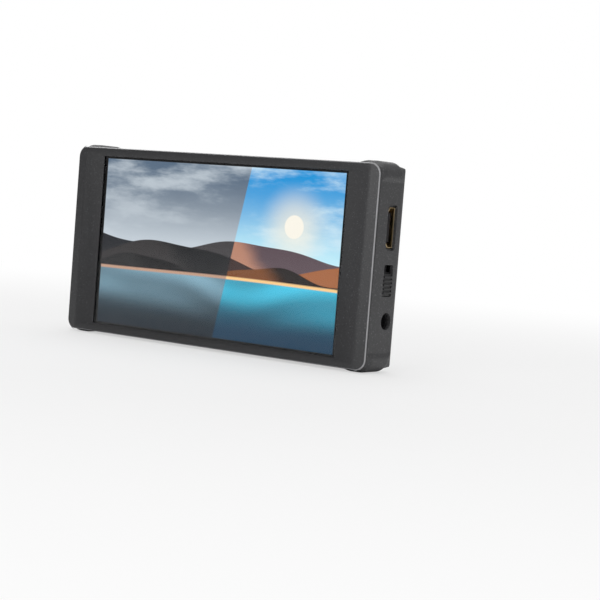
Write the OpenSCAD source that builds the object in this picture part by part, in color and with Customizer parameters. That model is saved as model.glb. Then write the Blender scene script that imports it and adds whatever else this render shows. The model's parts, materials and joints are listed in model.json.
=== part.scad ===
// Pocket field monitor with a 5.2 inch screen, a battery bay on its back and ports on both sides.
// Millimetres, +Z up. The origin is under the middle of the body, where its bumpers stand.
// The screen faces -Y. Inside in_body() a point is [across, depth behind the front, height from mid-height].

/* [Screen] */
// Width of the lit picture
screen_w = 115.1; // [108:0.1:122]
// Height of the lit picture
screen_h = 64.8; // [61:0.1:68]
// Black glass between the picture and the frame, left and right
side_border = 1.35; // [1:0.05:2.5]
// Black glass between the picture and the frame, top and bottom
rim_border = 0.8; // [0.5:0.05:2]
// How far the glass runs behind the edge of the frame
glass_lap = 0.7; // [0.5:0.05:1.2]
// Thickness of the cover glass
glass_t = 0.7; // [0.5:0.05:1.1]
// Thickness of the liquid crystal panel
panel_t = 1.2; // [0.9:0.05:1.5]
// Thickness of the diffuser sheet
diffuser_t = 0.3; // [0.2:0.05:0.5]
// Thickness of the light guide
guide_t = 0.6; // [0.5:0.05:0.9]
// Thickness of the reflector sheet
reflector_t = 0.2; // [0.1:0.05:0.3]
// Sheet thickness of the backlight tray
tray_t = 0.3; // [0.2:0.05:0.5]
// Width of the strip of lamps beside the light guide
led_strip_w = 1; // [0.8:0.1:2]

/* [Body] */
// Depth of the body, front to back
body_d = 20; // [19.2:0.1:24]
// Wall of the shells
wall = 1.5; // [1.2:0.05:1.8]
// Thickness of the back wall
back_wall = 1.6; // [1.3:0.05:1.8]
// Radius of the body's corners, seen from the front
corner_r = 4; // [3:0.1:5]
// Radius where the sides run into the back
rear_r = 4.5; // [4:0.1:7]
// Gap between the front frame and the rear housing
parting_gap = 0.15; // [0.1:0.05:0.3]
// Clearance around parts that are dropped into place
fit_gap = 0.15; // [0.1:0.01:0.25]

/* [Front frame] */
// Thickness of the frame at its highest line
frame_t = 1.5; // [1.3:0.05:2]
// Width of each inner side panel, from the glass to the ridge
side_panel_w = 8.1; // [7.2:0.1:11]
// Width of each outer side band, from the ridge to the edge
side_band_w = 5.5; // [4.5:0.1:8]
// How far the inner panels fall towards the glass
panel_drop = 1; // [0.6:0.05:1.1]
// How far the outer bands fall towards the edge
band_drop = 0.7; // [0.3:0.05:0.9]
// Width of the bevel above and below the glass
rim_bevel = 0.9; // [0.5:0.05:1]
// Bevel round the outer edge of the frame
edge_bevel = 0.4; // [0.2:0.05:0.6]
// Thickness of the lip that locates the frame in the housing
tongue_t = 0.8; // [0.6:0.05:1]
// Height of that lip
tongue_h = 2; // [1:0.1:2.5]

/* [Bumpers] */
// How far the bumpers stand above and below the body
bumper_proud = 1; // [0.5:0.1:1.5]
// How far the bumpers stand out of the sides
bumper_side_proud = 0.7; // [0.3:0.1:1]
// Length of a bumper along the top or bottom
bumper_w = 10; // [8:0.1:14]
// Length of a bumper along the side
bumper_h = 6.4; // [5.5:0.1:7.5]
// Depth where the bumpers start
bumper_front = 1.7; // [1.7:0.1:3]
// Depth where they reach full height
bumper_full_front = 5; // [4:0.1:7]
// Depth where they start to fall again
bumper_full_back = 13.5; // [11:0.1:14.5]
// Depth where they end
bumper_back = 16.6; // [15.5:0.1:17.5]
// Radius of a bumper's corner, seen from the front
bumper_r = 5.2; // [4:0.1:5.5]
// Length of the slope under a bumper, for each millimetre that it stands out
bumper_slope = 2; // [1:0.1:2.4]

/* [Trim strips] */
// Thickness of the metal strips
strip_t = 0.5; // [0.3:0.05:0.8]
// Width of a strip
strip_w = 4.45; // [4.3:0.05:5]
// Plastic left between a strip and the top or bottom of the body
strip_lip = 0.95; // [0.7:0.05:1.2]
// Half length of a strip at its inner edge
strip_half = 65; // [64.8:0.1:66]
// How much longer each end is at the outer edge
strip_slant = 3.5; // [2:0.1:4]
// How far the strips lie in front of the back face
strip_setback = 4.6; // [4:0.1:5]
// Height of the sloping band between a strip and the back face
slope_run = 3.35; // [2.5:0.05:3.6]
// Clearance round a strip in its seat
strip_gap = 0.1; // [0.05:0.01:0.2]

/* [Battery bay] */
// Length of the bay
bay_w = 81; // [79:0.1:84]
// Height of the bay
bay_h = 37.5; // [36.5:0.1:38.5]
// Offset of the bay from the middle of the body
bay_x = -1; // [-3:0.1:1]
// Depth of the bay floor behind the back face
bay_depth = 2.4; // [2:0.05:2.6]
// Thickness of the bay floor
floor_t = 1.4; // [1.2:0.05:1.6]
// Thickness of the battery plate
plate_t = 1.5; // [1.3:0.05:1.7]
// Length of the contact pocket at the end of the bay
pocket_w = 9.5; // [8.5:0.1:12]
// How deep the contact pocket lies behind the bay floor
pocket_drop = 1; // [0.5:0.05:1.2]
// Thickness of the flange of the contact block
contact_flange_t = 1.6; // [1.2:0.1:2]
// Length of a contact blade
blade_w = 4.8; // [4:0.1:6]
// Thickness of a contact blade
blade_t = 1.2; // [0.8:0.1:1.5]
// Height of a blade above the pocket floor
blade_rise = 2; // [1:0.1:2.4]
// Tail of a blade in front of the contact block
blade_tail = 0.8; // [0.5:0.1:1.5]
// Spacing of the three blades
blade_pitch = 15.4; // [8:0.1:16]

/* [Labels] */
// Width of the rating label
rating_w = 42; // [30:0.5:43]
// Height of the rating label
rating_h = 25; // [15:0.5:26]
// Middle of the rating label, from the middle of the body
rating_x = 3.5; // [0:0.5:5]
// Width of the serial label
serial_w = 15; // [12:0.5:16]
// Height of the serial label
serial_h = 33; // [25:0.5:34]
// Middle of the serial label, from the middle of the body
serial_x = -30.2; // [-31:0.1:-29]
// Thickness of the labels
label_t = 0.15; // [0.1:0.05:0.2]

/* [Battery release] */
// Length of the release slider
release_w = 16; // [14:0.1:18]
// Height of the release slider
release_h = 8.5; // [7.5:0.1:8.5]
// Travel of the release slider
release_travel = 2.6; // [1.5:0.1:3.5]
// Play at each end of that travel
release_play = 0.45; // [0.3:0.05:0.8]
// Middle of the release slider at rest
release_x = -2.8; // [-6:0.1:2]
// Open space between the slider and the lower side of its slot
release_foot = 0.85; // [0.5:0.05:1]
// How far the catch reaches into the bay
catch_reach = 1.7; // [1:0.1:2.5]
// Depth of the finger hollow
finger_depth = 0.7; // [0.3:0.05:1]
// Length of the stem through the bay floor
stem_w = 5; // [4:0.1:6]
// Height of the stem
stem_h = 3.2; // [2.6:0.1:4]
// Thickness of the keeper plate behind the floor
keeper_t = 1.05; // [0.8:0.05:1.3]
// Running gap between moving and fixed parts
run_gap = 0.2; // [0.1:0.05:0.3]
// Outer radius of the return spring
spring_r = 1.2; // [1:0.05:1.4]
// Radius of the spring wire
spring_wire_r = 0.22; // [0.15:0.01:0.3]
// Number of turns of the spring
spring_turns = 7; // [4:1:9]
// Length of the spring at rest
spring_len = 9.4; // [8:0.1:11]

/* [Side switches] */
// Height of a switch slot
slot_h = 11.2; // [10.5:0.1:12]
// Width of a switch slot
slot_w = 5.6; // [5:0.1:6]
// Travel of a switch slider
switch_travel = 3; // [1.5:0.1:3.5]
// Number of ribs on a slider
rib_count = 5; // [3:1:6]
// Spacing of the ribs
rib_pitch = 1.42; // [1:0.02:1.6]
// Thickness of a rib
rib_t = 0.7; // [0.4:0.05:0.9]
// How far the ribs stand out of the side
rib_proud = 0.3; // [0:0.05:0.8]
// Depth between the ribs
rib_depth = 0.7; // [0.4:0.05:1]
// Thickness of the flange that keeps a slider in
flange_t = 0.8; // [0.6:0.05:1]
// How far the flange laps behind the wall
flange_lap = 0.6; // [0.3:0.05:0.8]
// Height of the function slot's middle, left side
function_z = 23.1; // [22:0.1:23.5]
// Height of the power slot's middle, right side
power_z = -4.5; // [-6:0.1:-3]

/* [Ports] */
// Width of the digital video sockets
video_w = 14.4; // [14:0.1:15]
// Thickness of the digital video sockets
video_d = 5.05; // [4.8:0.05:5.5]
// Height of the video output's middle, left side
video_out_z = -21.25; // [-22:0.05:-20.5]
// Height of the video input's middle, right side
video_in_z = 14.3; // [12:0.1:16]
// Depth of the moulded recess round the video input
video_recess = 0.9; // [0.5:0.1:1.1]
// Width of the data socket's mouth
usb_w = 12.5; // [12:0.1:13]
// Thickness of the data socket's mouth
usb_d = 5.12; // [4.8:0.02:5.3]
// Height of the data socket's middle, left side
usb_z = 7.15; // [6.5:0.05:7.5]
// Sheet thickness of the socket shells
shell_t = 0.3; // [0.2:0.05:0.4]
// Clearance between a socket and its hole in the housing
port_gap = 0.2; // [0.1:0.05:0.3]
// Length of the sockets behind the wall
socket_len = 12.5; // [11:0.1:13.5]
// Radius of the headphone socket's bore
phone_r = 1.8; // [1.6:0.05:2]
// Outer radius of its ring
phone_ring_r = 3.2; // [2.8:0.05:3.4]
// Height of the headphone socket's middle, left side
phone_z = -6.6; // [-7.5:0.1:-5.5]
// Radius of the power inlet's bore
inlet_r = 2.75; // [2.5:0.05:3]
// Radius of its centre pin
inlet_pin_r = 1; // [0.7:0.05:1.2]
// Height of the power inlet's middle, right side
inlet_z = -19; // [-22:0.1:-17]

/* [Boards] */
// Thickness of the circuit boards
board_t = 0.8; // [0.6:0.05:1]
// Thickness of the metal mid frame
mid_t = 0.6; // [0.5:0.05:0.8]
// Height of the posts under the main board
main_post_h = 0.4; // [0.3:0.05:0.6]
// Height of the posts under the input board
input_post_h = 2.15; // [2:0.05:2.5]
// Gap between a board's edge and the outer face of the side wall
board_setback = 3.1; // [2.8:0.1:4]
// Width of the input board
input_board_w = 19.1; // [18:0.1:19.5]
// Gap between the two boards
board_split = 4.3; // [3.5:0.1:6]
// Height of both boards
board_h = 59.6; // [59:0.1:60.5]
// Side of the main chip
chip_w = 14; // [10:0.5:20]
// Thickness of the main chip
chip_t = 1.2; // [0.8:0.1:1.6]
// Thickness of the pad on the chip
pad_t = 0.8; // [0.4:0.1:1.2]
// Thickness of the heat spreader
spreader_t = 1; // [0.6:0.1:1.5]
// Height of the shield can
can_h = 2.4; // [1.8:0.1:3]
// Thickness of the flat cables
flex_t = 0.15; // [0.1:0.05:0.2]
// Height of the board connectors
plug_h = 1; // [0.8:0.1:1.3]

/* [Fasteners] */
// Thread radius of the long case screws
case_screw_r = 0.95; // [0.8:0.05:1]
// Head radius of the case screws
case_head_r = 1.7; // [1.5:0.05:1.75]
// Thread radius of the small screws
small_screw_r = 0.8; // [0.6:0.05:0.9]
// Head radius of the small screws
small_head_r = 1.4; // [1.2:0.05:1.45]
// Height of the screw heads
head_h = 0.7; // [0.5:0.05:0.8]
// Radius of the bosses for the case screws
boss_r = 1.9; // [1.8:0.05:1.95]
// Bore radius of the tripod insert, for a quarter-inch thread
tripod_r = 2.55; // [2.4:0.01:2.7]
// Outer radius of the tripod insert
tripod_body_r = 3.9; // [3.6:0.05:4]
// Length of the tripod insert
tripod_len = 5; // [4:0.1:5.2]

/* [Hidden] */
$fn = 48;
eps = 0.01;
skin = 0.05; // play round a thread, a blade or a socket insert

open_w = screen_w + 2 * side_border;
open_h = screen_h + 2 * rim_border;
glass_w = open_w + 2 * glass_lap;
glass_h = open_h + 2 * glass_lap;
ridge_w = open_w + 2 * side_panel_w;
body_w = ridge_w + 2 * side_band_w;
body_h = glass_h + 2 * (fit_gap + tongue_t + fit_gap + wall);
cavity_w = body_w - 2 * wall;
cavity_h = body_h - 2 * wall;
side_x = body_w / 2;

// depths of the layers behind the front
panel_y = frame_t + glass_t;
diffuser_y = panel_y + panel_t;
guide_y = diffuser_y + diffuser_t;
reflector_y = guide_y + guide_t;
tray_back = reflector_y + reflector_t + tray_t;
mid_back = tray_back + mid_t;
main_y = mid_back + main_post_h;
main_back = main_y + board_t;
input_y = mid_back + input_post_h;
input_back = input_y + board_t;
shell_y = frame_t + parting_gap;
led_end = 4.2; // the strip of lamps stops this far from the end of the glass
back_in = body_d - back_wall;

// bumpers
bumper_slices = 5; // cuts through each swelling end
bumper_step = 7.5; // degrees from point to point round the corner
bumper_foot = 0.06; // a bumper's ends lie this deep in the body
bumper_sink = 0.1; // and its edges this deep

// trim strips
strip_y = body_d - strip_setback;
strip_out_z = body_h / 2 - strip_lip;
strip_in_z = strip_out_z - strip_w;
seat_y = strip_y - strip_t - skin;
step_y = seat_y - wall;
slope_end = slope_run * 0.72; // how far the slope runs on past a strip's end

// battery bay and release
floor_y = body_d - bay_depth;
floor_under = floor_y - floor_t;
plate_back = floor_y + plate_t;
bay_left = bay_x - bay_w / 2;
bay_right = bay_x + bay_w / 2;
pocket_x = bay_right - pocket_w;
pocket_y = floor_y - pocket_drop;
block_y = floor_under - contact_flange_t;
bay_r = 0.8; // radius of the bay's corners
pocket_inset = 0.35; // the pocket is this much lower than the bay at each side
flange_reach = 1.2;
blade_x = pocket_x + 0.2 + blade_w / 2;
release_top = bay_h / 2 - 0.15;
release_bottom = release_top + release_h;
release_slot_low = release_bottom + release_foot - 0.15;
release_left = release_x - release_w / 2;
release_right = release_x + release_w / 2;
catch_shift = 0.5;
release_y = floor_y + run_gap - 0.05;
release_back = body_d - 0.35;
stem_x = release_x;
stem_z = release_top + release_h / 2;
stem_front = floor_under - run_gap;
keeper_y = stem_front - keeper_t;
keeper_left = stem_x - stem_w / 2 - 2.7;
keeper_right = stem_x + stem_w / 2 + 2.7;
keeper_h = stem_h + 2.8;
spring_y = floor_under - spring_r - 0.1;
spring_x = keeper_right + 0.05;
post_x = spring_x + spring_len + 0.05;
post_t = 1.4;

// side switches
slider_h = slot_h - switch_travel - 2 * fit_gap;
slider_w = slot_w - 2 * fit_gap;
function_y = main_back + slot_w / 2 - 0.65;
power_y = input_back + slot_w / 2;
flange_x = side_x - wall - fit_gap;
flange_h = slider_h + 2 * flange_lap;
switch_x = side_x - board_setback;
switch_len = 5.4;
stem_side = 1.5;
stem_len = 1.6;
switch_d = 2.4; // a switch reaches this far behind its slider's middle

// ports
usb_y = main_back + usb_d / 2 + shell_t;
video_out_y = main_back + video_d / 2;
video_in_y = input_back + video_d / 2;
phone_body = 5;
phone_y = main_back + phone_body / 2;
inlet_body = 7.3;
inlet_y = input_back + inlet_body / 2;
// the inlet's body stops where the inside of the housing rounds off behind it
inner_r = rear_r - wall;
inlet_over = max(0, inlet_y + inlet_body / 2 + fit_gap - back_in + inner_r);
inlet_face = inner_r - sqrt(max(0, inner_r * inner_r - inlet_over * inlet_over)) + fit_gap;
inlet_h = 9;
inlet_base = 2; // solid part behind the bore
pin_root = 0.5;
pin_setback = 3;
mouth_setback = 0.3;

// boards
board_edge = side_x - board_setback;
input_left = board_edge - input_board_w;
main_right = input_left - board_split;
chip_x = -5;
chip_z = 4;
spreader_w = 56;
spreader_h = 36;
spreader_y = main_back + chip_t + pad_t;
plug_w = 4;
flex_gap = 0.3; // height of a flat cable above its board
flex_x = glass_w / 2 + 1.4;
display_flex_w = 16;
link_w = 8; // the flat cable between the boards
link_z = board_h * 0.285;
plug_end = 1; // a connector is this much longer than its cable is wide, at each end
board_inset = 0.7;
lead_plug = 3;
can_w = 18;
can_wall = 0.2;
ic_w = 8;
ic_t = 1;
column_x = chip_x - spreader_w / 2 - can_w / 2 - 3; // column of parts beside the heat spreader

// screws
boss_x = glass_w / 2 + boss_r + 1.1;
boss_z = strip_in_z + boss_r + 0.05;
boss_end = mid_back + 0.1;
boss_gap = 0.4;
case_seat = seat_y - head_h - skin;
case_tip = frame_t + 1;
frame_screw_x = glass_w / 2 + 5.3;
frame_screw_z = 15.6;
post_r = 1.7;
board_screw_z = board_h / 2 - 2.3;
main_screw_xs = [-side_x + 15.5, main_right - 3.5];
input_screw_x = input_left + 3.7;
plate_screw_xs = [bay_left + 3.5, pocket_x - 4];
plate_screw_z = bay_h / 2 - 4.75;

black = [0.07, 0.07, 0.075];
charcoal = [0.2, 0.2, 0.21];
gold = [0.83, 0.68, 0.36];
steel = [0.72, 0.73, 0.75];
board_green = [0.05, 0.25, 0.16];

// ---- helpers ----

module in_body() {
    translate([0, -body_d / 2, body_h / 2 + bumper_proud]) children();
}

// a block between two opposite corners
module block(low, high) {
    translate(low) cube(high - low);
}

module rounded_rect(w, h, r) {
    square([w - 2 * r, h], center = true);
    square([w, h - 2 * r], center = true);
    for (x = [-1, 1], z = [-1, 1]) translate([x * (w / 2 - r), z * (h / 2 - r)]) circle(r);
}

// extrudes a shape drawn as seen from behind the screen, between two depths
module slab(front, back) {
    translate([0, back, 0]) rotate([90, 0, 0]) linear_extrude(back - front) children();
}

module round_slab(w, h, r, front, back) {
    slab(front, back) rounded_rect(w, h, r);
}

// extrudes a [depth, height] shape across the body
module across(left, right) {
    translate([left, 0, 0]) rotate([90, 0, 90]) linear_extrude(right - left) children();
}

module rod_y(r, front, back) {
    translate([0, back, 0]) rotate([90, 0, 0]) cylinder(r = r, h = back - front);
}

module rod_x(r, left, right) {
    translate([left, 0, 0]) rotate([0, 90, 0]) cylinder(r = r, h = right - left);
}

module four_corners(x, z) {
    for (sx = [-1, 1], sz = [-1, 1]) translate([sx * x, 0, sz * z]) children();
}

// pan-head screw along the depth, its head towards the back, with a cross recess
module screw(r, head_r, tip, seat) {
    rod_y(r, tip, seat + eps);
    difference() {
        rod_y(head_r, seat, seat + head_h);
        for (turn = [0, 90]) rotate([0, turn, 0])
            block([-head_r * 0.6, seat + head_h * 0.5, -0.15], [head_r * 0.6, seat + head_h + 1, 0.15]);
    }
}

// puts children, drawn for the right side, on the left
module on_left() {
    mirror([1, 0, 0]) children();
}

// origin on the outer face of the right side wall
module at_side(y, z) {
    translate([side_x, y, z]) children();
}

// ---- front ----

module frame_outline(front, back, inset) {
    round_slab(body_w - 2 * inset, body_h - 2 * inset, corner_r - inset, front, back);
}

module front_frame() {
    color(charcoal) in_body() {
        difference() {
            hull() {
                frame_outline(0, eps, edge_bevel);
                frame_outline(edge_bevel, frame_t, 0);
            }
            // valley that falls from the ridges and rims to the glass
            hull() {
                slab(-eps, 0) square([ridge_w, open_h + 2 * rim_bevel], center = true);
                slab(panel_drop - eps, panel_drop) square([open_w, open_h], center = true);
            }
            slab(0, frame_t + 1) square([open_w, open_h], center = true);
            // outer bands that fall from the ridges to the edge
            for (side = [-1, 1]) band_wedge(side);
        }
        difference() {
            round_slab(cavity_w - 2 * fit_gap, cavity_h - 2 * fit_gap, corner_r - wall, frame_t - eps,
                frame_t + tongue_h);
            round_slab(cavity_w - 2 * (fit_gap + tongue_t), cavity_h - 2 * (fit_gap + tongue_t),
                corner_r - wall - tongue_t, frame_t - 1, frame_t + tongue_h + 1);
            tongue_notches();
        }
        four_corners(boss_x, boss_z) difference() {
            rod_y(boss_r, frame_t - eps, boss_end);
            rod_y(case_screw_r + skin, case_tip - 0.3, boss_end + 1);
        }
        four_corners(frame_screw_x, frame_screw_z) difference() {
            rod_y(post_r, frame_t - eps, tray_back);
            rod_y(small_screw_r + skin, frame_t + 0.4, tray_back + 1);
        }
    }
}

// the wedge taken off an outer band
module band_wedge(side) {
    translate([0, 0, -body_h]) linear_extrude(2 * body_h)
        polygon([[side * ridge_w / 2, 0], [side * (side_x + 1), band_drop * (1 + 1 / side_band_w)],
            [side * (side_x + 1), -1], [side * ridge_w / 2, -1]]);
}

// the locating lip stops short of the sockets
module tongue_notches() {
    block([-side_x, frame_t, -board_h / 2], [-glass_w / 2, body_d, board_h / 2]);
    block([glass_w / 2, frame_t, -board_h / 2], [side_x, body_d, board_h / 2]);
}

module cover_glass() {
    color(black) in_body() round_slab(glass_w, glass_h, 1, frame_t, panel_y);
}

module lcd_panel() {
    color([0.1, 0.12, 0.16]) in_body() round_slab(glass_w, glass_h, 0.5, panel_y, diffuser_y);
}

module diffuser_sheet() {
    color([0.9, 0.9, 0.9]) in_body() tray_layer(diffuser_y, guide_y, 0);
}

// a sheet that lies in the backlight tray, cut short at its left end
module tray_layer(front, back, cut) {
    half_w = glass_w / 2 - tray_t - skin;
    half_h = glass_h / 2 - tray_t - skin;
    block([-half_w + cut, front, -half_h], [half_w, back, half_h]);
}

module light_guide() {
    color([0.8, 0.88, 0.92]) in_body() tray_layer(guide_y, reflector_y, led_strip_w + skin);
}

module reflector_sheet() {
    color([0.95, 0.95, 0.95]) in_body() tray_layer(reflector_y, tray_back - tray_t, 0);
}

module led_strip() {
    left = -glass_w / 2 + tray_t + skin;
    half_h = glass_h / 2 - led_end;
    color([0.95, 0.9, 0.7]) in_body()
        block([left, guide_y, -half_h], [left + led_strip_w, reflector_y, half_h]);
}

module backlight_tray() {
    color(steel) in_body() difference() {
        round_slab(glass_w, glass_h, 0.5, diffuser_y, tray_back);
        tray_layer(diffuser_y - 1, tray_back - tray_t, -skin);
    }
}

module mid_frame() {
    half_w = cavity_w / 2 - fit_gap - tongue_t - fit_gap;
    color(steel) in_body() difference() {
        union() {
            block([-half_w, tray_back, -glass_h / 2], [half_w, mid_back, glass_h / 2]);
            for (x = main_screw_xs, z = [-1, 1]) translate([x, 0, z * board_screw_z])
                rod_y(post_r, mid_back - eps, main_y);
            for (z = [-1, 1]) translate([input_screw_x, 0, z * board_screw_z])
                rod_y(post_r, mid_back - eps, input_y);
        }
        boss_corners();
        block([flex_x - 1, 0, -display_flex_w / 2 - 1], [flex_x + 1, body_d, display_flex_w / 2 + 1]);
        four_corners(frame_screw_x, frame_screw_z) rod_y(small_screw_r + skin, 0, body_d);
        for (x = concat(main_screw_xs, [input_screw_x]), z = [-1, 1]) translate([x, 0, z * board_screw_z])
            rod_y(small_screw_r + skin, tray_back + 0.1, body_d);
    }
}

// what the corners of the mid frame and the boards leave free for the bosses
module boss_corners() {
    four_corners(side_x, body_h / 2) cube([2 * (side_x - boss_x + boss_r + boss_gap), 2 * body_d,
        2 * (body_h / 2 - boss_z + boss_r + boss_gap)], center = true);
}

// ---- boards ----

module main_board() {
    color(board_green) in_body() difference() {
        block([-board_edge, main_y, -board_h / 2], [main_right, main_back, board_h / 2]);
        boss_corners();
        for (z = [-1, 1]) translate([-frame_screw_x, 0, z * frame_screw_z])
            rod_y(small_head_r + 0.4, 0, body_d);
        for (x = main_screw_xs, z = [-1, 1]) translate([x, 0, z * board_screw_z])
            rod_y(small_screw_r + skin, 0, body_d);
    }
}

module input_board() {
    color(board_green) in_body() difference() {
        block([input_left, input_y, -board_h / 2], [board_edge, input_back, board_h / 2]);
        boss_corners();
        for (z = [-1, 1]) translate([input_screw_x, 0, z * board_screw_z])
            rod_y(small_screw_r + skin, 0, body_d);
    }
}

// a flat part on a board: middle across, middle height, width, height, thickness
module part_on(board, x, z, w, h, t) {
    block([x - w / 2, board, z - h / 2], [x + w / 2, board + t, z + h / 2]);
}

module main_chip() {
    color(black) in_body() part_on(main_back, chip_x, chip_z, chip_w, chip_w, chip_t);
}

module heat_pad() {
    color([0.45, 0.6, 0.75]) in_body() part_on(main_back + chip_t, chip_x, chip_z, chip_w, chip_w, pad_t);
}

module heat_spreader() {
    color(steel) in_body() translate([chip_x, 0, chip_z]) {
        block([-spreader_w / 2, spreader_y, -spreader_h / 2],
            [spreader_w / 2, spreader_y + spreader_t, spreader_h / 2]);
        four_corners(spreader_w / 2 - 1.5, spreader_h / 2 - 1.5) rod_y(1.2, main_back, spreader_y + eps);
    }
}

module shield_can() {
    color(steel) in_body() translate([column_x, 0, -board_h * 0.27]) difference() {
        block([-can_w / 2, main_back, -can_w / 2], [can_w / 2, main_back + can_h, can_w / 2]);
        block([-can_w / 2 + can_wall, main_back - 1, -can_w / 2 + can_wall],
            [can_w / 2 - can_wall, main_back + can_h - can_wall, can_w / 2 - can_wall]);
    }
}

module small_chips() {
    low_z = -board_h * 0.4;
    input_x = input_left + ic_w * 0.56;
    color(black) in_body() {
        part_on(main_back, column_x, board_h * 0.09, ic_w, ic_w, ic_t);
        part_on(main_back, column_x, board_h * 0.33, ic_w * 0.75, ic_w * 1.1, ic_t);
        part_on(main_back, chip_x - spreader_w * 0.32, low_z, ic_w * 0.9, ic_w * 0.6, ic_t);
        part_on(main_back, chip_x + spreader_w * 0.04, low_z, ic_w * 1.25, ic_w * 0.75, ic_t);
        part_on(main_back, chip_x + spreader_w * 0.25, board_h * 0.43, ic_w, ic_w * 0.5, ic_t);
        part_on(input_back, input_x, -board_h * 0.13, ic_w * 0.6, ic_w * 0.75, ic_t);
        part_on(input_back, input_x, board_h * 0.03, ic_w * 0.6, ic_w * 0.6, ic_t);
    }
}

module board_connectors() {
    main_x = main_right - plug_w / 2;
    color([0.85, 0.82, 0.74]) in_body() {
        part_on(main_back, main_x, 0, plug_w, display_flex_w + 2 * plug_end, plug_h);
        part_on(main_back, main_x, link_z, plug_w, link_w + 2 * plug_end, plug_h);
        part_on(input_back, input_left + board_inset + plug_w / 2, link_z,
            plug_w, link_w + 2 * plug_end, plug_h);
        for (i = [-1:1]) part_on(main_back, blade_x, i * blade_pitch, lead_plug, lead_plug, plug_h);
    }
}

// from the panel's right edge, back through the mid frame and over to the main board
module display_flex() {
    cable_y = main_back + flex_gap;
    exit_y = panel_y + panel_t / 2;
    half = display_flex_w / 2;
    color([0.72, 0.45, 0.15]) in_body() {
        block([glass_w / 2, exit_y, -half], [flex_x + flex_t, exit_y + flex_t, half]);
        block([flex_x, exit_y, -half], [flex_x + flex_t, cable_y + flex_t, half]);
        block([main_right, cable_y, -half], [flex_x + flex_t, cable_y + flex_t, half]);
    }
}

// links the two boards
module board_flex() {
    low_y = main_back + plug_h * 0.6;
    high_y = input_back + plug_h * 0.5;
    bend_x = input_left - board_split * 0.44;
    low_z = link_z - link_w / 2;
    high_z = link_z + link_w / 2;
    color([0.72, 0.45, 0.15]) in_body() {
        block([main_right, low_y, low_z], [bend_x + flex_t, low_y + flex_t, high_z]);
        block([bend_x, low_y, low_z], [bend_x + flex_t, high_y + flex_t, high_z]);
        block([bend_x, high_y, low_z], [input_left + board_inset, high_y + flex_t, high_z]);
    }
}

module battery_leads() {
    color("firebrick") in_body() for (i = [-1:1]) translate([blade_x, 0, i * blade_pitch])
        rod_y(blade_t / 2, main_back + plug_h, block_y - blade_tail);
}

// ---- rear housing ----

// the body seen from above, with soft corners at the back
module plan_outline(w, r, front, back) {
    translate([-w / 2, front]) square([w, back - r - front]);
    translate([-w / 2 + r, front]) square([w - 2 * r, back - front]);
    for (x = [-1, 1]) translate([x * (w / 2 - r), back - r]) circle(r);
}

module soft_block(w, h, corner, r, front, back) {
    intersection() {
        round_slab(w, h, corner, front, back);
        translate([0, 0, -h]) linear_extrude(2 * h) plan_outline(w, r, front, back);
    }
}

// one cut through a bumper: a corner that stands up and out by so much, its foot sunk in the body
module bumper_slice(y, up, out) {
    top = body_h / 2;
    arc_x = side_x + out - bumper_r;
    arc_z = top + up - bumper_r;
    slab(y - eps, y) polygon(concat(
        [[side_x - bumper_w - bumper_sink, top - 3], [side_x - bumper_w - bumper_sink, top - bumper_sink],
            [min(side_x - bumper_w + bumper_slope * up, arc_x), top + up]],
        [for (a = [90:-bumper_step:0]) [arc_x + bumper_r * cos(a), arc_z + bumper_r * sin(a)]],
        [[side_x + out, min(top - bumper_h + bumper_slope * out, arc_z)],
            [side_x - bumper_sink, top - bumper_h - bumper_sink],
            [side_x - 3, top - bumper_h - bumper_sink]]));
}

// a bumper swells quickly at both ends, like a quarter of a circle, and is straight between
module bumper() {
    hull() for (i = [0:bumper_slices]) {
        swell = sin(90 * i / bumper_slices);
        up = (bumper_proud + bumper_foot) * swell - bumper_foot;
        out = (bumper_side_proud + bumper_foot) * swell - bumper_foot;
        bumper_slice(bumper_front + (bumper_full_front - bumper_front) * i / bumper_slices, up, out);
        bumper_slice(bumper_back - (bumper_back - bumper_full_back) * i / bumper_slices, up, out);
    }
}

// strip outline, longer at its outer edge, grown all round
module strip_shape(grow) {
    slant = strip_slant / strip_w;
    inner = strip_half + grow;
    polygon([[-inner, strip_in_z - grow], [inner, strip_in_z - grow],
        [inner + slant * (strip_w + 2 * grow), strip_out_z + grow],
        [-inner - slant * (strip_w + 2 * grow), strip_out_z + grow]]);
}

// the sloping hollow in which a strip lies
module strip_hollow() {
    slant = strip_slant / strip_w;
    over = strip_w + strip_lip + bumper_proud + 1;
    hull() {
        slab(strip_y - eps, strip_y) polygon([[-strip_half, strip_in_z], [strip_half, strip_in_z],
            [strip_half + slant * over, strip_in_z + over], [-strip_half - slant * over, strip_in_z + over]]);
        slab(body_d, body_d + eps) polygon([[-strip_half - slope_end, strip_in_z - slope_run],
            [strip_half + slope_end, strip_in_z - slope_run],
            [strip_half + slope_end + slant * over, strip_in_z + over],
            [-strip_half - slope_end - slant * over, strip_in_z + over]]);
    }
}

module housing_block() {
    difference() {
        union() {
            soft_block(body_w, body_h, corner_r, rear_r, shell_y, body_d);
            for (sx = [0, 1], sz = [0, 1]) mirror([sx, 0, 0]) mirror([0, 0, sz]) bumper();
        }
        for (sz = [0, 1]) mirror([0, 0, sz]) {
            strip_hollow();
            slab(seat_y, body_d) strip_shape(strip_gap);
        }
    }
}

module housing_cavity() {
    low_z = strip_in_z - wall;
    intersection() {
        soft_block(cavity_w, cavity_h, corner_r - wall, rear_r - wall, 0, back_in);
        across(-side_x, side_x) polygon([[0, -cavity_h / 2], [step_y, -cavity_h / 2], [step_y, -low_z],
            [back_in, slope_run - low_z], [back_in, low_z - slope_run], [step_y, low_z],
            [step_y, cavity_h / 2], [0, cavity_h / 2]]);
    }
}

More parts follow.
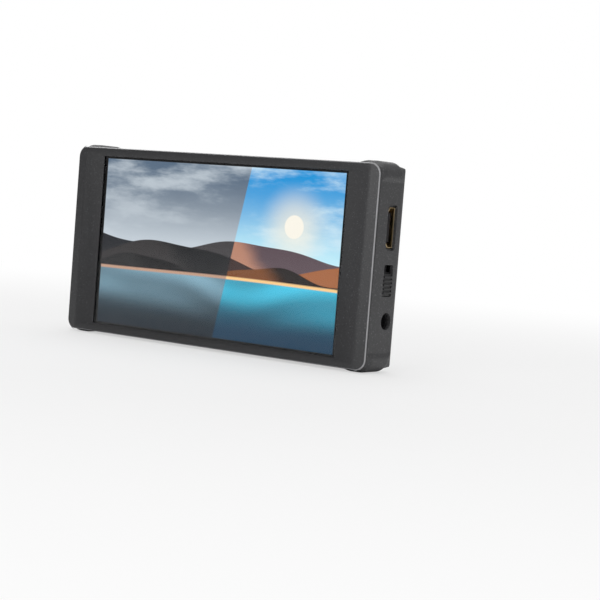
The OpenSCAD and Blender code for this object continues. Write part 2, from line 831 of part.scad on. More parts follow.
// what is left standing inside the cavity
module housing_ribs() {
    // floor of the battery bay, and of the slot for the release
    block([bay_left - wall, floor_under, -bay_h / 2 - wall], [bay_right + wall, body_d, bay_h / 2 + wall]);
    block([release_left - release_play - wall, floor_under, -body_h / 2],
        [post_x + post_t, body_d, -bay_h / 2]);
    // post that the return spring pushes on
    block([post_x, spring_y - spring_r - 0.2, -stem_z - keeper_h / 2 + 1],
        [post_x + post_t, body_d, -stem_z + keeper_h / 2 - 1]);
    four_corners(boss_x, boss_z) rod_y(boss_r, boss_end, body_d);
    // block for the tripod thread
    block([-tripod_body_r - wall, boss_end, -body_h / 2],
        [tripod_body_r + wall, body_d, -body_h / 2 + tripod_len + 0.9]);
}

module switch_slot(y, z) {
    at_side(y, z) across(-wall - 1, 1 + bumper_side_proud) rounded_rect(slot_w, slot_h, 0.6);
}

// room in the side wall for a slider's flange and its travel
module flange_room(y, z) {
    half_d = slot_w / 2 + flange_lap + run_gap;
    half_h = slot_h / 2 + flange_lap + run_gap;
    at_side(y, z) block([-wall - fit_gap - flange_t - run_gap, -half_d, -half_h], [-wall, half_d, half_h]);
}

// socket outline as [depth, height]: two corners towards the front are cut off
module video_outline(grow) {
    half_d = video_d / 2 + grow;
    half_w = video_w / 2 + grow;
    cut_d = video_d * 0.37;
    cut_w = video_w * 0.15;
    polygon([[half_d, -half_w], [half_d, half_w], [-half_d + cut_d, half_w], [-half_d, half_w - cut_w],
        [-half_d, cut_w - half_w], [-half_d + cut_d, -half_w]]);
}

module housing_cuts() {
    translate([bay_x, 0, 0]) round_slab(bay_w, bay_h, bay_r, floor_y, body_d + 1);
    // contact pocket, right through the floor
    block([pocket_x, floor_under - 1, pocket_inset - bay_h / 2],
        [bay_right, body_d, bay_h / 2 - pocket_inset]);
    // slot for the release, open towards the bay, and the smaller slot for its stem
    block([release_left - release_play, floor_y, -release_slot_low],
        [release_right + release_travel + release_play - 0.2, body_d + 1, -bay_h / 2 + 1]);
    block([stem_x - stem_w / 2 - 0.3, floor_under - 1, -stem_z - stem_h / 2 - 0.3],
        [stem_x + stem_w / 2 + release_travel + 0.3, body_d, -stem_z + stem_h / 2 + 0.3]);
    for (x = plate_screw_xs, z = [-1, 1]) translate([x, 0, z * plate_screw_z])
        rod_y(small_screw_r + skin, floor_under - 1, body_d);
    four_corners(boss_x, boss_z) {
        rod_y(case_screw_r + skin, 0, body_d);
        rod_y(case_head_r + skin, case_seat, body_d);
    }
    translate([0, body_d / 2, -body_h / 2 - 1]) cylinder(r = tripod_body_r, h = tripod_len + 1);
    // left side
    on_left() {
        switch_slot(function_y, function_z);
        flange_room(function_y, function_z);
        at_side(usb_y, usb_z) across(-wall - 1, 1)
            square([usb_d + 2 * (shell_t + port_gap), usb_w + 2 * (shell_t + port_gap)], center = true);
        at_side(video_out_y, video_out_z) across(-wall - 1, 1) video_outline(port_gap);
        at_side(phone_y, phone_z) rod_x(phone_ring_r + 0.02, -wall - 1, 1);
    }
    // right side
    switch_slot(power_y, power_z);
    flange_room(power_y, power_z);
    at_side(video_in_y, video_in_z) {
        across(-wall - 1, 1) video_outline(port_gap);
        across(-video_recess, 1) rounded_rect(video_d + 0.7, video_w + 1.6, 1.2);
    }
    at_side(inlet_y, inlet_z) rod_x(inlet_r + 0.3, -wall - 1, 1);
}

module rear_housing() {
    color(charcoal) in_body() difference() {
        housing_block();
        difference() {
            housing_cavity();
            housing_ribs();
        }
        housing_cuts();
    }
}

module trim_strip() {
    slab(seat_y, seat_y + strip_t) strip_shape(0);
}

module top_trim_strip() {
    color(steel) in_body() trim_strip();
}

module bottom_trim_strip() {
    color(steel) in_body() mirror([0, 0, 1]) trim_strip();
}

module battery_plate() {
    left = bay_left + fit_gap;
    half_h = bay_h / 2 - fit_gap;
    color(black) in_body() difference() {
        union() {
            translate([(left + pocket_x) / 2, 0, 0])
                round_slab(pocket_x - left, 2 * half_h, bay_r - fit_gap, floor_y, plate_back);
            for (z = [-1, 1]) translate([left + 1.3, 0, z * (half_h - 1.3)])
                rod_y(1.1, floor_y, plate_back + 0.6);
        }
        // room for the catch
        block([release_left - release_play - 0.5, 0, -bay_h / 2 - 1],
            [release_right + catch_shift + release_travel + release_play, body_d,
                catch_reach + 0.4 - bay_h / 2]);
        for (x = plate_screw_xs, z = [-1, 1]) translate([x, 0, z * plate_screw_z])
            rod_y(small_screw_r + skin, floor_y - 1, plate_back - 0.4);
    }
}

module contact_block() {
    half_h = bay_h / 2 - pocket_inset;
    color(black) in_body() difference() {
        union() {
            block([pocket_x - flange_reach, block_y, -half_h - flange_reach],
                [bay_right + flange_reach, floor_under, half_h + flange_reach]);
            block([pocket_x + 0.1, block_y, 0.1 - half_h], [bay_right - 0.1, pocket_y, half_h - 0.1]);
        }
        contact_places(0.02);
    }
}

module contact_places(grow) {
    for (i = [-1:1]) block(
        [blade_x - blade_w / 2 - grow, block_y - blade_tail, i * blade_pitch - blade_t / 2 - grow],
        [blade_x + blade_w / 2 + grow, pocket_y + blade_rise, i * blade_pitch + blade_t / 2 + grow]);
}

module contact_blades() {
    color(steel) in_body() contact_places(0);
}

module spec_label() {
    color(black) in_body() translate([rating_x, 0, 0])
        round_slab(rating_w, rating_h, 1, plate_back, plate_back + label_t);
}

module serial_label() {
    color(black) in_body() translate([serial_x, 0, 0])
        round_slab(serial_w, serial_h, 2, plate_back, plate_back + label_t);
}

// ---- battery release ----

module release_slider() {
    color(black) in_body() difference() {
        union() {
            block([release_left, release_y, -release_bottom], [release_right, release_back, -release_top]);
            block([stem_x - stem_w / 2, stem_front, -stem_z - stem_h / 2],
                [stem_x + stem_w / 2, release_y + eps, -stem_z + stem_h / 2]);
        }
        // finger hollow
        block([release_left + 1.15, release_back - finger_depth, -release_bottom + 3],
            [release_right - 1.3, body_d + 1, -release_top - 1.6]);
        translate([stem_x, 0, -stem_z]) rod_y(small_screw_r + skin, 0, release_y);
    }
}

module battery_latch() {
    color(black) in_body()
        block([release_left + catch_shift, release_y + 0.1, -release_top],
            [release_right + catch_shift, release_back - 0.15, catch_reach - release_top]);
}

module slider_retainer() {
    color(steel) in_body() difference() {
        union() {
            block([keeper_left, keeper_y, -stem_z - keeper_h / 2],
                [keeper_right, stem_front, -stem_z + keeper_h / 2]);
            // ear for the spring
            block([keeper_right - 1.2, spring_y - spring_r - 0.1, 1 - stem_z - keeper_h / 2],
                [keeper_right, stem_front, -1 - stem_z + keeper_h / 2]);
        }
        translate([stem_x, 0, -stem_z]) rod_y(small_screw_r + skin, 0, body_d);
    }
}

module slider_screw() {
    color(steel) in_body() translate([stem_x, keeper_y + release_y - 0.1, -stem_z]) rotate([0, 0, 180])
        screw(small_screw_r, small_head_r, keeper_y + 0.2, release_y - 0.1);
}

// wire ring of a coil spring at a given angle, as points
function coil_ring(turns, i, sides) = [for (k = [0:sides - 1])
    let (a = i * 30, b = k * 360 / sides, m = spring_r - spring_wire_r)
    [spring_wire_r + (spring_len - 2 * spring_wire_r) * i / (turns * 12) + spring_wire_r * sin(b) * 0.99,
        (m + spring_wire_r * cos(b)) * cos(a), (m + spring_wire_r * cos(b)) * sin(a)]];

module release_spring() {
    sides = 6;
    steps = spring_turns * 12;
    points = [for (i = [0:steps]) each coil_ring(spring_turns, i, sides)];
    walls = [for (i = [0:steps - 1], k = [0:sides - 1]) let (n = (k + 1) % sides)
        each [[i * sides + k, i * sides + n, (i + 1) * sides + n],
            [i * sides + k, (i + 1) * sides + n, (i + 1) * sides + k]]];
    caps = [[for (k = [sides - 1:-1:0]) k], [for (k = [0:sides - 1]) steps * sides + k]];
    color(steel) in_body() translate([spring_x, spring_y, -stem_z])
        polyhedron(points, concat(walls, caps), convexity = 10);
}

// ---- side switches ----

// slider for the right side, origin on the outer face at the slot's middle, at the lower end of its travel
module switch_slider() {
    face = rib_proud - rib_depth;
    low = -slot_h / 2 + fit_gap;
    middle = low + slider_h / 2;
    block([-wall - fit_gap - flange_t, -slider_w / 2, low], [face, slider_w / 2, low + slider_h]);
    for (i = [0:rib_count - 1]) {
        z = middle + (i - (rib_count - 1) / 2) * rib_pitch;
        block([face - eps, -slider_w / 2, z - rib_t / 2], [rib_proud, slider_w / 2, z + rib_t / 2]);
    }
    block([-wall - fit_gap - flange_t, -slot_w / 2 - flange_lap, middle - flange_h / 2],
        [-wall - fit_gap, slot_w / 2 + flange_lap, middle + flange_h / 2]);
    block([-wall - fit_gap - flange_t - stem_len, -stem_side / 2, middle - stem_side / 2],
        [-wall - fit_gap - flange_t + eps, stem_side / 2, middle + stem_side / 2]);
}

// switch behind the slider, on a board; its slot takes the slider's stem
module switch_body(board, y, z) {
    low = z - slot_h / 2;
    middle = low + fit_gap + slider_h / 2;
    front_x = side_x - wall - fit_gap - flange_t - run_gap;
    difference() {
        block([front_x - switch_len, board, low], [front_x, y + switch_d, low + slot_h]);
        block([front_x - stem_len - 0.2, y - stem_side / 2 - run_gap, middle - stem_side / 2 - 0.3],
            [front_x + 1, y + stem_side / 2 + run_gap, middle + switch_travel + stem_side / 2 + 0.3]);
    }
}

module function_slider() {
    color(black) in_body() on_left() at_side(function_y, function_z) switch_slider();
}

module function_switch_body() {
    color(black) in_body() on_left() switch_body(main_back, function_y, function_z);
}

module power_slider() {
    color(black) in_body() at_side(power_y, power_z) switch_slider();
}

module power_switch_body() {
    color(black) in_body() switch_body(input_back, power_y, power_z);
}

// ---- sockets, drawn for the right side from the outer face inwards ----

module video_shell(mouth) {
    difference() {
        across(-wall - socket_len, -mouth) video_outline(0);
        across(-wall - socket_len - 1, 1) video_outline(-shell_t);
    }
}

module video_insert(mouth) {
    tongue_half = video_w * 0.36;
    across(-wall - socket_len, -wall - socket_len + 2.5) video_outline(-shell_t - skin);
    block([-wall - socket_len + 2, -0.1, -tongue_half], [-mouth - 0.8, 1.1, tongue_half]);
}

module hdmi_out_shell() {
    color(gold) in_body() on_left() at_side(video_out_y, video_out_z) video_shell(mouth_setback);
}

module hdmi_out_insert() {
    color(black) in_body() on_left() at_side(video_out_y, video_out_z) video_insert(mouth_setback);
}

module hdmi_in_shell() {
    color(gold) in_body() at_side(video_in_y, video_in_z) video_shell(video_recess);
}

module hdmi_in_insert() {
    color(black) in_body() at_side(video_in_y, video_in_z) video_insert(video_recess);
}

module usb_shell() {
    color(gold) in_body() on_left() at_side(usb_y, usb_z) difference() {
        across(-wall - socket_len, -mouth_setback)
            square([usb_d + 2 * shell_t, usb_w + 2 * shell_t], center = true);
        across(-wall - socket_len - 1, 1) square([usb_d, usb_w], center = true);
    }
}

module usb_insert() {
    half_d = usb_d / 2 - skin;
    half_w = usb_w / 2 - skin;
    color([0.9, 0.88, 0.82]) in_body() on_left() at_side(usb_y, usb_z) {
        block([-wall - socket_len, -half_d, -half_w], [-wall - socket_len + 2.5, half_d, half_w]);
        block([-wall - socket_len + 2, half_d - 1.85, 1 - half_w],
            [-mouth_setback - 0.6, half_d - 0.2, half_w - 1]);
    }
}

module headphone_jack() {
    color(black) in_body() on_left() at_side(phone_y, phone_z) difference() {
        block([-wall - socket_len, -phone_body / 2, -phone_ring_r],
            [-wall - 0.1, phone_body / 2, phone_ring_r]);
        rod_x(phone_r, -wall - socket_len + 1, 1);
    }
}

module headphone_ring() {
    color(gold) in_body() on_left() at_side(phone_y, phone_z) difference() {
        rod_x(phone_ring_r, -wall - 0.1, 0);
        rod_x(phone_r + 0.25, -wall - 1, 1);
    }
}

module dc_jack() {
    color(black) in_body() at_side(inlet_y, inlet_z) difference() {
        block([-wall - socket_len, -inlet_body / 2, -inlet_h / 2],
            [-wall - inlet_face, inlet_body / 2, inlet_h / 2]);
        rod_x(inlet_r, -wall - socket_len + inlet_base, 1);
        rod_x(inlet_pin_r + skin, -wall - socket_len + pin_root, 1);
    }
}

module dc_pin() {
    color(steel) in_body() at_side(inlet_y, inlet_z)
        rod_x(inlet_pin_r, -wall - socket_len + pin_root, -pin_setback);
}

module tripod_insert() {
    color([0.75, 0.6, 0.3]) in_body() translate([0, body_d / 2, -body_h / 2]) difference() {
        cylinder(r = tripod_body_r, h = tripod_len);
        translate([0, 0, -1]) cylinder(r = tripod_r, h = tripod_len + 2);
    }
}

// ---- fasteners ----

module case_screws() {
    color(steel) in_body() four_corners(boss_x, boss_z) screw(case_screw_r, case_head_r, case_tip, case_seat);
}

module frame_screws() {
    color(steel) in_body() four_corners(frame_screw_x, frame_screw_z)
        screw(small_screw_r, small_head_r, frame_t + 0.6, mid_back);
}

module board_screws() {
    color(steel) in_body() {
        for (x = main_screw_xs, z = [-1, 1]) translate([x, 0, z * board_screw_z])
            screw(small_screw_r, small_head_r, tray_back + 0.2, main_back);
        for (z = [-1, 1]) translate([input_screw_x, 0, z * board_screw_z])
            screw(small_screw_r, small_head_r, tray_back + 0.2, input_back);
    }
}

module plate_screws() {
    color(steel) in_body() for (x = plate_screw_xs, z = [-1, 1])
        translate([x, plate_back - 0.5 + floor_under, z * plate_screw_z]) rotate([0, 0, 180])
            screw(small_screw_r, small_head_r, floor_under, plate_back - 0.5);
}

front_frame();
cover_glass();
lcd_panel();
diffuser_sheet();
light_guide();
reflector_sheet();
led_strip();
backlight_tray();
mid_frame();
main_board();
input_board();
main_chip();
heat_pad();
heat_spreader();
shield_can();
small_chips();
board_connectors();
display_flex();
board_flex();
battery_leads();
rear_housing();
top_trim_strip();
bottom_trim_strip();
battery_plate();
contact_block();
contact_blades();
spec_label();
serial_label();
release_slider();
battery_latch();
slider_retainer();
slider_screw();
release_spring();
function_slider();
function_switch_body();
usb_shell();
usb_insert();
headphone_jack();
headphone_ring();
hdmi_out_shell();
hdmi_out_insert();
hdmi_in_shell();
hdmi_in_insert();
power_slider();
power_switch_body();
dc_jack();
dc_pin();
tripod_insert();
case_screws();
frame_screws();
board_screws();
plate_screws();
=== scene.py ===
import json
from math import hypot, radians
import bpy
import bmesh
from mathutils import Matrix, Vector

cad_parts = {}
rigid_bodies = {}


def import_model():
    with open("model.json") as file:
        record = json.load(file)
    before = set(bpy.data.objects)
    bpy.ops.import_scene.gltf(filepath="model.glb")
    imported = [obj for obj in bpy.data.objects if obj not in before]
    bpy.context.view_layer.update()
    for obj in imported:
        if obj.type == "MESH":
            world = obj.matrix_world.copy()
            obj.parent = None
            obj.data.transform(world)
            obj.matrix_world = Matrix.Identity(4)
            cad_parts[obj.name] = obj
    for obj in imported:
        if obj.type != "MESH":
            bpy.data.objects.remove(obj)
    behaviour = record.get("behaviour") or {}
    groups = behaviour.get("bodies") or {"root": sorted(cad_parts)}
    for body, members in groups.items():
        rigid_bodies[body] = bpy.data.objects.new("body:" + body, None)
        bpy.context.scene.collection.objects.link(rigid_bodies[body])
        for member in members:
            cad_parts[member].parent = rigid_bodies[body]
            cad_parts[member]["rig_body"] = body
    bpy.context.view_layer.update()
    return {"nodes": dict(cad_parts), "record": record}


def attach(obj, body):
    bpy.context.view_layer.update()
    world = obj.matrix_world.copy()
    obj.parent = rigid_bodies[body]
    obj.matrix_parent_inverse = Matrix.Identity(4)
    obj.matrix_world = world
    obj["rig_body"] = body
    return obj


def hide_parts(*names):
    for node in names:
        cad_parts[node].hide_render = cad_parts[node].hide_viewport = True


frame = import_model()
nodes = frame["nodes"]
mm = 0.001
midHeight = 0.0375  # middle of the body above the floor
frontDepth = -0.010  # where the front plane lies along y


class Wire:  # one output socket, with arithmetic on it
    def __init__(self, tree, socket):
        self.tree, self.socket = tree, socket

    def maths(self, operation, *values):
        made = self.tree.node("ShaderNodeMath", {"operation": operation}, dict(enumerate(values)))
        return made["Value"]

    def __add__(self, other): return self.maths("ADD", self, other)
    def __radd__(self, other): return self.maths("ADD", other, self)
    def __sub__(self, other): return self.maths("SUBTRACT", self, other)
    def __rsub__(self, other): return self.maths("SUBTRACT", other, self)
    def __mul__(self, other): return self.maths("MULTIPLY", self, other)
    def __rmul__(self, other): return self.maths("MULTIPLY", other, self)
    def __truediv__(self, other): return self.maths("DIVIDE", self, other)
    def __rtruediv__(self, other): return self.maths("DIVIDE", other, self)
    def __pow__(self, other): return self.maths("POWER", self, other)

    def sine(self): return self.maths("SINE", self)
    def size(self): return self.maths("ABSOLUTE", self)
    def least(self, other): return self.maths("MINIMUM", self, other)
    def most(self, other): return self.maths("MAXIMUM", self, other)

    def ramp(self, low, high):  # 0 below low, 1 above high, smooth between
        settings = {"interpolation_type": "SMOOTHSTEP"}
        inputs = {"Value": self, "From Min": low, "From Max": high}
        return self.tree.node("ShaderNodeMapRange", settings, inputs)["Result"]


class NodeTree:  # a node tree and the one way its nodes are added
    def __init__(self, tree):
        self.tree = tree
        self.tree.nodes.clear()

    def add(self, kind, settings=None, inputs=None):
        made = self.tree.nodes.new(kind)
        for key, value in (settings or {}).items():
            setattr(made, key, value)
        for key, value in (inputs or {}).items():
            self.plug(value, made.inputs[key])
        return made

    def node(self, kind, settings=None, inputs=None):  # adds a node and gives its outputs by name
        made = self.add(kind, settings, inputs)
        return {s.name: Wire(self, s) for s in made.outputs if s.enabled}

    def plug(self, value, socket):
        if isinstance(value, Wire):
            self.tree.links.new(value.socket, socket)
        elif socket.type == "RGBA" and len(value) == 3:
            socket.default_value = (*value, 1)
        else:
            socket.default_value = value


class Paint(NodeTree):  # a material round one shader, with its patterns on Object coordinates
    def __init__(self, name):
        self.material = bpy.data.materials.new(name)
        self.material.use_nodes = True
        super().__init__(self.material.node_tree)
        self.shader = self.add("ShaderNodeBsdfPrincipled")
        self.surface = Wire(self, self.shader.outputs["BSDF"])
        self.output = self.add("ShaderNodeOutputMaterial", {}, {"Surface": self.surface})
        self.where = self.node("ShaderNodeTexCoord")["Object"]

    def finish(self, **inputs):  # fills the shader's sockets and hands over the material
        for key, value in inputs.items():
            self.plug(value, self.shader.inputs[key.replace("_", " ")])
        return self.material

    def blend(self, factor, first, second):  # colours
        mixed = self.add("ShaderNodeMix", {"data_type": "RGBA"})
        sockets = {s.identifier: s for s in (*mixed.inputs, *mixed.outputs)}
        for key, value in (("Factor_Float", factor), ("A_Color", first), ("B_Color", second)):
            self.plug(value, sockets[key])
        return Wire(self, sockets["Result_Color"])

    def noise(self, scale, detail=3.0, stretch=(1, 1, 1), rough=0.5):
        place = self.node("ShaderNodeMapping", {}, {"Vector": self.where, "Scale": stretch})["Vector"]
        inputs = {"Vector": place, "Scale": scale, "Detail": detail, "Roughness": rough}
        return self.node("ShaderNodeTexNoise", {}, inputs)["Fac"]

    def axes(self):
        split = self.node("ShaderNodeSeparateXYZ", {}, {"Vector": self.where})
        return split["X"], split["Y"], split["Z"]

    def bump(self, height, strength, distance):
        inputs = {"Height": height, "Strength": strength, "Distance": distance}
        return self.node("ShaderNodeBump", {}, inputs)["Normal"]


def tint(colour, amount):
    return [min(1, c * amount) for c in colour]


# moulded plastic of the frame and the housing, with fine specks of painted glint
texturedPlastic = {
    "frame": (0.026, 0.026, 0.028), "frameRough": 0.32,
    "housing": (0.05, 0.05, 0.052), "housingRough": 0.45,
    "grain": 2600, "grainShare": 1.9, "cloud": 60, "cloudShare": 0.3, "middle": 0.45,
    "dark": 0.7, "light": 1.4, "paintedGlint": 4.6, "paintedGlintFrom": (0.62, 0.74),
    "spread": 0.2, "bump": 0.3, "depth": 0.03 * mm,
}
# bevel round the frame's front edge, smoother than the face, with a painted highlight as its light colour:
# half size, corner radius and reach of that colour in mm, then the bevel's size in mm and the angle past
# which the other edges get their small bevel
rimBevel = {
    "half": (72.5, 36.5), "corner": 4.0, "wide": 0.42, "deep": 1.07, "soft": 0.1,
    "colour": (0.32, 0.32, 0.33), "rough": 0.25,
    "size": 0.36, "crisp": 55, "near": 0.03, "edgeFrom": 0.2, "edgeTo": 0.8,
}


def rimHighlightMask(paint):  # 1 on the frame's bevel, where the painted highlight goes, 0 elsewhere
    x, y, z = paint.axes()
    pastX = (x.size() / mm - rimBevel["half"][0] + rimBevel["corner"]).most(0.0)
    pastZ = ((z - midHeight).size() / mm - rimBevel["half"][1] + rimBevel["corner"]).most(0.0)
    inward = rimBevel["corner"] - (pastX * pastX + pastZ * pastZ) ** 0.5
    behind = (y - frontDepth) / mm
    outer = 1.0 - inward.ramp(rimBevel["wide"] - rimBevel["soft"], rimBevel["wide"])
    return outer * (1.0 - behind.ramp(rimBevel["deep"] - rimBevel["soft"], rimBevel["deep"]))


def mouldedTexture(name, colour, rough):
    paint = Paint(name)
    look = texturedPlastic
    grain = paint.noise(look["grain"])
    cloud = paint.noise(look["cloud"])
    tone = (grain - 0.5) * look["grainShare"] + (cloud - 0.5) * look["cloudShare"] + look["middle"]
    shade = paint.blend(tone, tint(colour, look["dark"]), tint(colour, look["light"]))
    # painted glint: grain past a threshold turns far lighter, standing in for sparkle off the texture
    shade = paint.blend(grain.ramp(*look["paintedGlintFrom"]), shade, tint(colour, look["paintedGlint"]))
    rim = rimHighlightMask(paint)
    # painted highlight: the bevel takes a light grey in place of the lamp's reflection along the edge; its
    # lower roughness is real
    shade = paint.blend(rim, shade, rimBevel["colour"])
    grit = rough + (grain - 0.5) * look["spread"]
    return paint.finish(Base_Color=shade, Roughness=grit + rim * (rimBevel["rough"] - grit),
                        Normal=paint.bump(grain * (1.0 - rim), look["bump"], look["depth"]))


brushedStrip = {
    "colour": (0.66, 0.66, 0.67), "dark": 0.8, "light": 1.2, "across": 9000, "along": 60,
    "detail": 4.0, "grainRough": 0.7, "rough": 0.3, "spread": 0.2, "bump": 0.25, "depth": 0.02 * mm,
}


def brushedAluminium(name):
    paint = Paint(name)
    look = brushedStrip
    stretch = (look["along"] / look["across"], 1, 1)
    lines = paint.noise(look["across"], look["detail"], stretch, look["grainRough"])
    shade = paint.blend(lines, tint(look["colour"], look["dark"]), tint(look["colour"], look["light"]))
    return paint.finish(Base_Color=shade, Metallic=1.0, Roughness=look["rough"] + lines * look["spread"],
                        Normal=paint.bump(lines, look["bump"], look["depth"]))


# plain surfaces: darkest and lightest tone, change of roughness, bump
surfaceKinds = {
    "satin": {"tones": (0.85, 1.15), "spread": 0.12, "bump": 0.12, "metallic": 0.0},
    "metal": {"tones": (0.88, 1.0), "spread": 0.14, "bump": 0.06, "metallic": 1.0},
    "flat": {"tones": (0.8, 1.15), "spread": 0.1, "bump": 0.1, "metallic": 0.0},
    "grainy": {"tones": (0.8, 1.15), "spread": 0.1, "bump": 0.3, "metallic": 0.0},
}
surfaceDepth = 0.02 * mm


def plainFinish(name, kind, colour, rough, grain):
    paint = Paint(name)
    look = surfaceKinds[kind]
    cloud = paint.noise(grain)
    shade = paint.blend(cloud, *[tint(colour, tone) for tone in look["tones"]])
    return paint.finish(Base_Color=shade, Metallic=look["metallic"],
                        Roughness=rough + (cloud - 0.5) * look["spread"],
                        Normal=paint.bump(cloud, look["bump"], surfaceDepth))


coverGlass = {"smear": 90, "detail": 4.0, "smearFrom": (0.3, 1.0), "rough": 0.02, "ior": 1.36, "shine": 0.3}


def coverGlassFinish(name):
    paint = Paint(name)
    smear = paint.noise(coverGlass["smear"], coverGlass["detail"]).ramp(*coverGlass["smearFrom"])
    return paint.finish(Base_Color=(1, 1, 1), Roughness=smear * coverGlass["rough"], IOR=coverGlass["ior"],
                        Specular_IOR_Level=coverGlass["shine"], Transmission_Weight=1.0)


# the picture, measured in half heights from its middle; each pair of colours is dull, then vivid
screenPicture = {
    "half": 32.4 * mm, "wide": 115.1 / 64.8, "edge": 0.004, "front": 2.6 * mm, "frontSoft": 0.1 * mm,
    "split": 0.26, "lean": 0.2, "splitSoft": 0.006, "strength": 1.0,
    "panel": (0.004, 0.004, 0.005), "panelRough": 0.3, "wisp": (34, 6.0, (1, 1, 3.6), 0.58),
}
pictureSky = {
    "rise": (-0.1, 1.0), "veil": (13, 2.0, (1, 1, 2.4)),
    "low": ((0.6, 0.67, 0.73), (0.56, 0.9, 1.0)), "high": ((0.1, 0.155, 0.23), (0.0, 0.3, 0.72)),
    "cloudMix": (0.75, 0.35), "cloudFrom": (0.5, 0.72), "cloudShare": 0.85,
    "cloud": ((0.61, 0.68, 0.74), (0.74, 0.93, 1.0)),
    "murkMix": (0.3, 0.8), "murkFrom": (0.42, 0.62), "murkShare": 0.55,
    "murk": ((0.05, 0.085, 0.14), (0.0, 0.26, 0.68)),
}
lowSun = {
    "across": 1.12, "up": 0.36, "disc": (0.125, 0.14), "colour": (1.0, 0.96, 0.85),
    "halo": (0.1, 0.55), "haloShare": 0.6, "haloColours": ((0.6, 0.6, 0.62), (1.0, 0.93, 0.76)),
}
duneRows = [
    {"base": 0.06, "swell": 0.075, "waves": 2.3, "start": 0.4,
     "lit": ((0.06, 0.056, 0.06), (0.5, 0.24, 0.16)),
     "shade": ((0.015, 0.017, 0.022), (0.11, 0.075, 0.09))},
    {"base": -0.06, "swell": 0.12, "waves": 1.9, "start": 2.9,
     "lit": ((0.036, 0.033, 0.034), (0.38, 0.13, 0.045)),
     "shade": ((0.008, 0.009, 0.011), (0.045, 0.022, 0.02))},
    {"base": -0.2, "swell": 0.08, "waves": 3.1, "start": 5.2,
     "lit": ((0.016, 0.016, 0.017), (0.2, 0.065, 0.016)),
     "shade": ((0.002, 0.002, 0.003), (0.01, 0.006, 0.005))},
]
duneShape = {
    "ripple": 2.4, "rippleShare": 0.22, "quarterTurn": 1.57, "steep": 2.2, "ragged": 0.8,
    "litFrom": (-0.35, 0.55), "soft": 0.004,
}
nearPlain = {
    "foot": -0.3, "footWave": (1.3, 1.0, 0.012), "bends": ((1.7, 0.8, 0.16), (3.9, 0.0, 0.05)),
    "waves": 15.0, "reach": 0.66, "fall": 1.4, "still": 0.55, "cloudShare": 0.5, "cloudBase": 0.75,
    "dark": ((0.003, 0.012, 0.022), (0.0, 0.035, 0.08)), "light": ((0.23, 0.42, 0.53), (0.06, 0.6, 0.84)),
    "edge": (-0.002, 0.006), "glowWide": 0.024, "glowGain": 1.7,
    "glow": ((0.55, 0.33, 0.23), (1.0, 0.62, 0.27)),
}


def paintSky(paint, both, across, up, wisp):
    look = pictureSky
    veil = paint.noise(*look["veil"])
    height = up.ramp(*look["rise"])
    sky = paint.blend(height, both(look["low"]), both(look["high"]))
    cloud = (wisp * look["cloudMix"][0] + veil * look["cloudMix"][1]).ramp(*look["cloudFrom"])
    sky = paint.blend(cloud * look["cloudShare"], sky, both(look["cloud"]))
    clear = (wisp * look["murkMix"][0] + veil * look["murkMix"][1]).ramp(*look["murkFrom"]) * height
    sky = paint.blend((1.0 - clear) * height * look["murkShare"], sky, both(look["murk"]))
    away = ((across - lowSun["across"]) ** 2.0 + (up - lowSun["up"]) ** 2.0) ** 0.5
    halo = (1.0 - away.ramp(*lowSun["halo"])) * lowSun["haloShare"]
    sky = paint.blend(halo, sky, both(lowSun["haloColours"]))
    return paint.blend(1.0 - away.ramp(*lowSun["disc"]), sky, lowSun["colour"])


def paintDunes(paint, both, across, up, wisp, picture):  # from the far row to the near one
    look = duneShape
    for row in duneRows:
        turn = across * row["waves"] + row["start"]
        ripple = (turn * look["ripple"]).sine() * row["swell"] * look["rippleShare"]
        crest = turn.sine() * row["swell"] + ripple + row["base"]
        slope = (turn + look["quarterTurn"]).sine()
        side = slope + (crest - up) * look["steep"] + (wisp - 0.5) * look["ragged"]
        tone = paint.blend(side.ramp(*look["litFrom"]), both(row["shade"]), both(row["lit"]))
        picture = paint.blend((crest - up).ramp(-look["soft"], look["soft"]), picture, tone)
    return picture


def paintPlain(paint, both, across, up, wisp, picture):  # blue ground in long low waves, warm at its far edge
    look = nearPlain

    def swing(waves, start, swell):
        return (across * waves + start).sine() * swell

    foot = look["foot"] + swing(*look["footWave"])
    first, second = [swing(*bend) for bend in look["bends"]]
    wave = ((up + first + second) * look["waves"]).sine() * 0.5 + 0.5
    depth = (foot - up).ramp(0.0, look["reach"])
    lightness = (1.0 - depth) ** look["fall"] * (look["still"] + wave * (1.0 - look["still"]))
    lightness = lightness * (wisp * look["cloudShare"] + look["cloudBase"])
    plain = paint.blend(lightness, both(look["dark"]), both(look["light"]))
    picture = paint.blend((foot - up).ramp(*look["edge"]), picture, plain)
    glow = 1.0 - ((up - foot).size() / look["glowWide"]).least(1.0)
    return paint.blend((glow * look["glowGain"]).least(1.0), picture, both(look["glow"]))


def litPicture(name):  # dunes under thin cloud, dull left of a slanting line and vivid right of it
    paint = Paint(name)
    look = screenPicture
    x, y, z = paint.axes()
    across = x / look["half"]
    up = (z - midHeight) / look["half"]
    vivid = (across - up * look["lean"] - look["split"]).ramp(-look["splitSoft"], look["splitSoft"])

    def both(pair):
        return paint.blend(vivid, *pair)

    wisp = paint.noise(*look["wisp"])
    picture = paintSky(paint, both, across, up, wisp)
    picture = paintDunes(paint, both, across, up, wisp, picture)
    picture = paintPlain(paint, both, across, up, wisp, picture)
    # black border, and nothing lit on the panel's sides and back
    inside = (look["wide"] - across.size()).ramp(0.0, look["edge"])
    inside = inside * (1.0 - up.size()).ramp(0.0, look["edge"])
    lit = inside * (frontDepth + look["front"] - y).ramp(0.0, look["frontSoft"])
    glow = paint.blend(lit, (0, 0, 0), picture)
    return paint.finish(Base_Color=look["panel"], Roughness=look["panelRough"], Specular_IOR_Level=0.0,
                        Emission_Color=glow, Emission_Strength=look["strength"])


